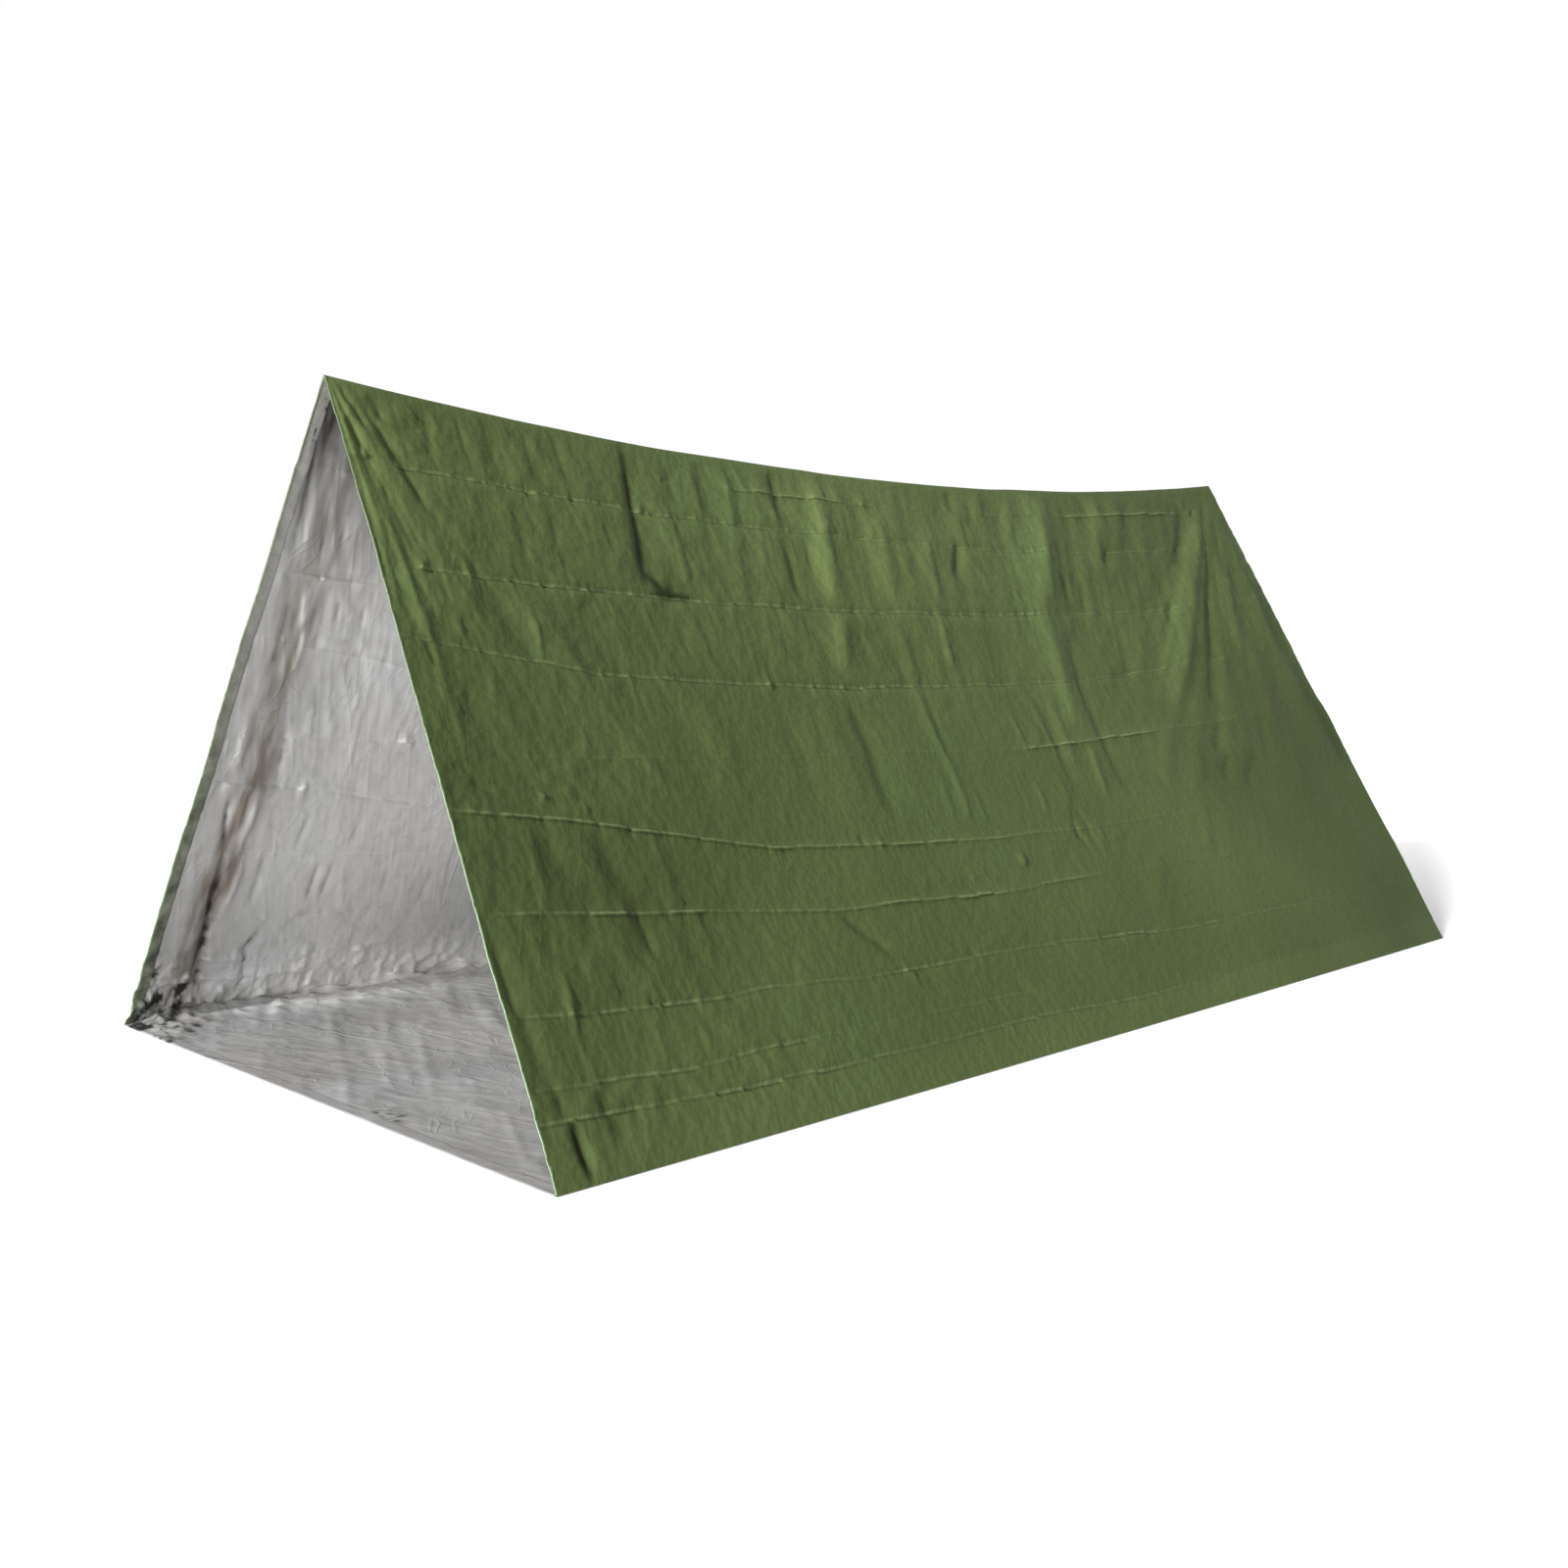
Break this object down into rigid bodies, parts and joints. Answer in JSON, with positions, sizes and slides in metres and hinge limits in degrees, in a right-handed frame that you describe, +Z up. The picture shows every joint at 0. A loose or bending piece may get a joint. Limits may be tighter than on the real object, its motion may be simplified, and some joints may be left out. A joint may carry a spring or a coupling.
{
  "type": "emergency tube tent",
  "caption": "Open-ended A-frame tube of thin film, green outside and silver inside, with a sagging ridge fold that lowers as the walls crumple.",
  "frame": {"origin": "centre of the floor's underside", "axes": "+Y along the ridge from the open front to the rear, +Z up, +X to the right wall"},
  "size_m": [1.229, 2.4003, 1.0242],
  "materials": {
    "green_film": "semi-gloss creased film",
    "silver_film": "crinkled aluminised film",
    "pale_green_hem": "semi-gloss film strip"
  },
  "bodies": {
    "tent": {"floor_outer_film": "green_film", "floor_inner_film": "silver_film", "front_hem_floor": "pale_green_hem", "rear_hem_floor": "pale_green_hem", "floor_closing_seam": "silver_film", "left_wall_outer_film": "green_film", "left_wall_inner_film": "silver_film", "right_wall_outer_film": "green_film", "right_wall_inner_film": "silver_film", "front_hem_left": "pale_green_hem", "front_hem_right": "pale_green_hem", "rear_hem_left": "pale_green_hem", "rear_hem_right": "pale_green_hem"},
    "ridge": {"ridge_outer_film": "green_film", "ridge_inner_film": "silver_film", "front_hem_ridge": "pale_green_hem", "rear_hem_ridge": "pale_green_hem"}
  },
  "joints": [
    {"name": "ridge_lower", "type": "slide", "parent": "tent", "child": "ridge", "axis": [0, 0, -1], "range_m": [0, 0.82], "deforming": ["left_wall_outer_film", "left_wall_inner_film", "right_wall_outer_film", "right_wall_inner_film", "front_hem_left", "front_hem_right", "rear_hem_left", "rear_hem_right"]}
  ]
}
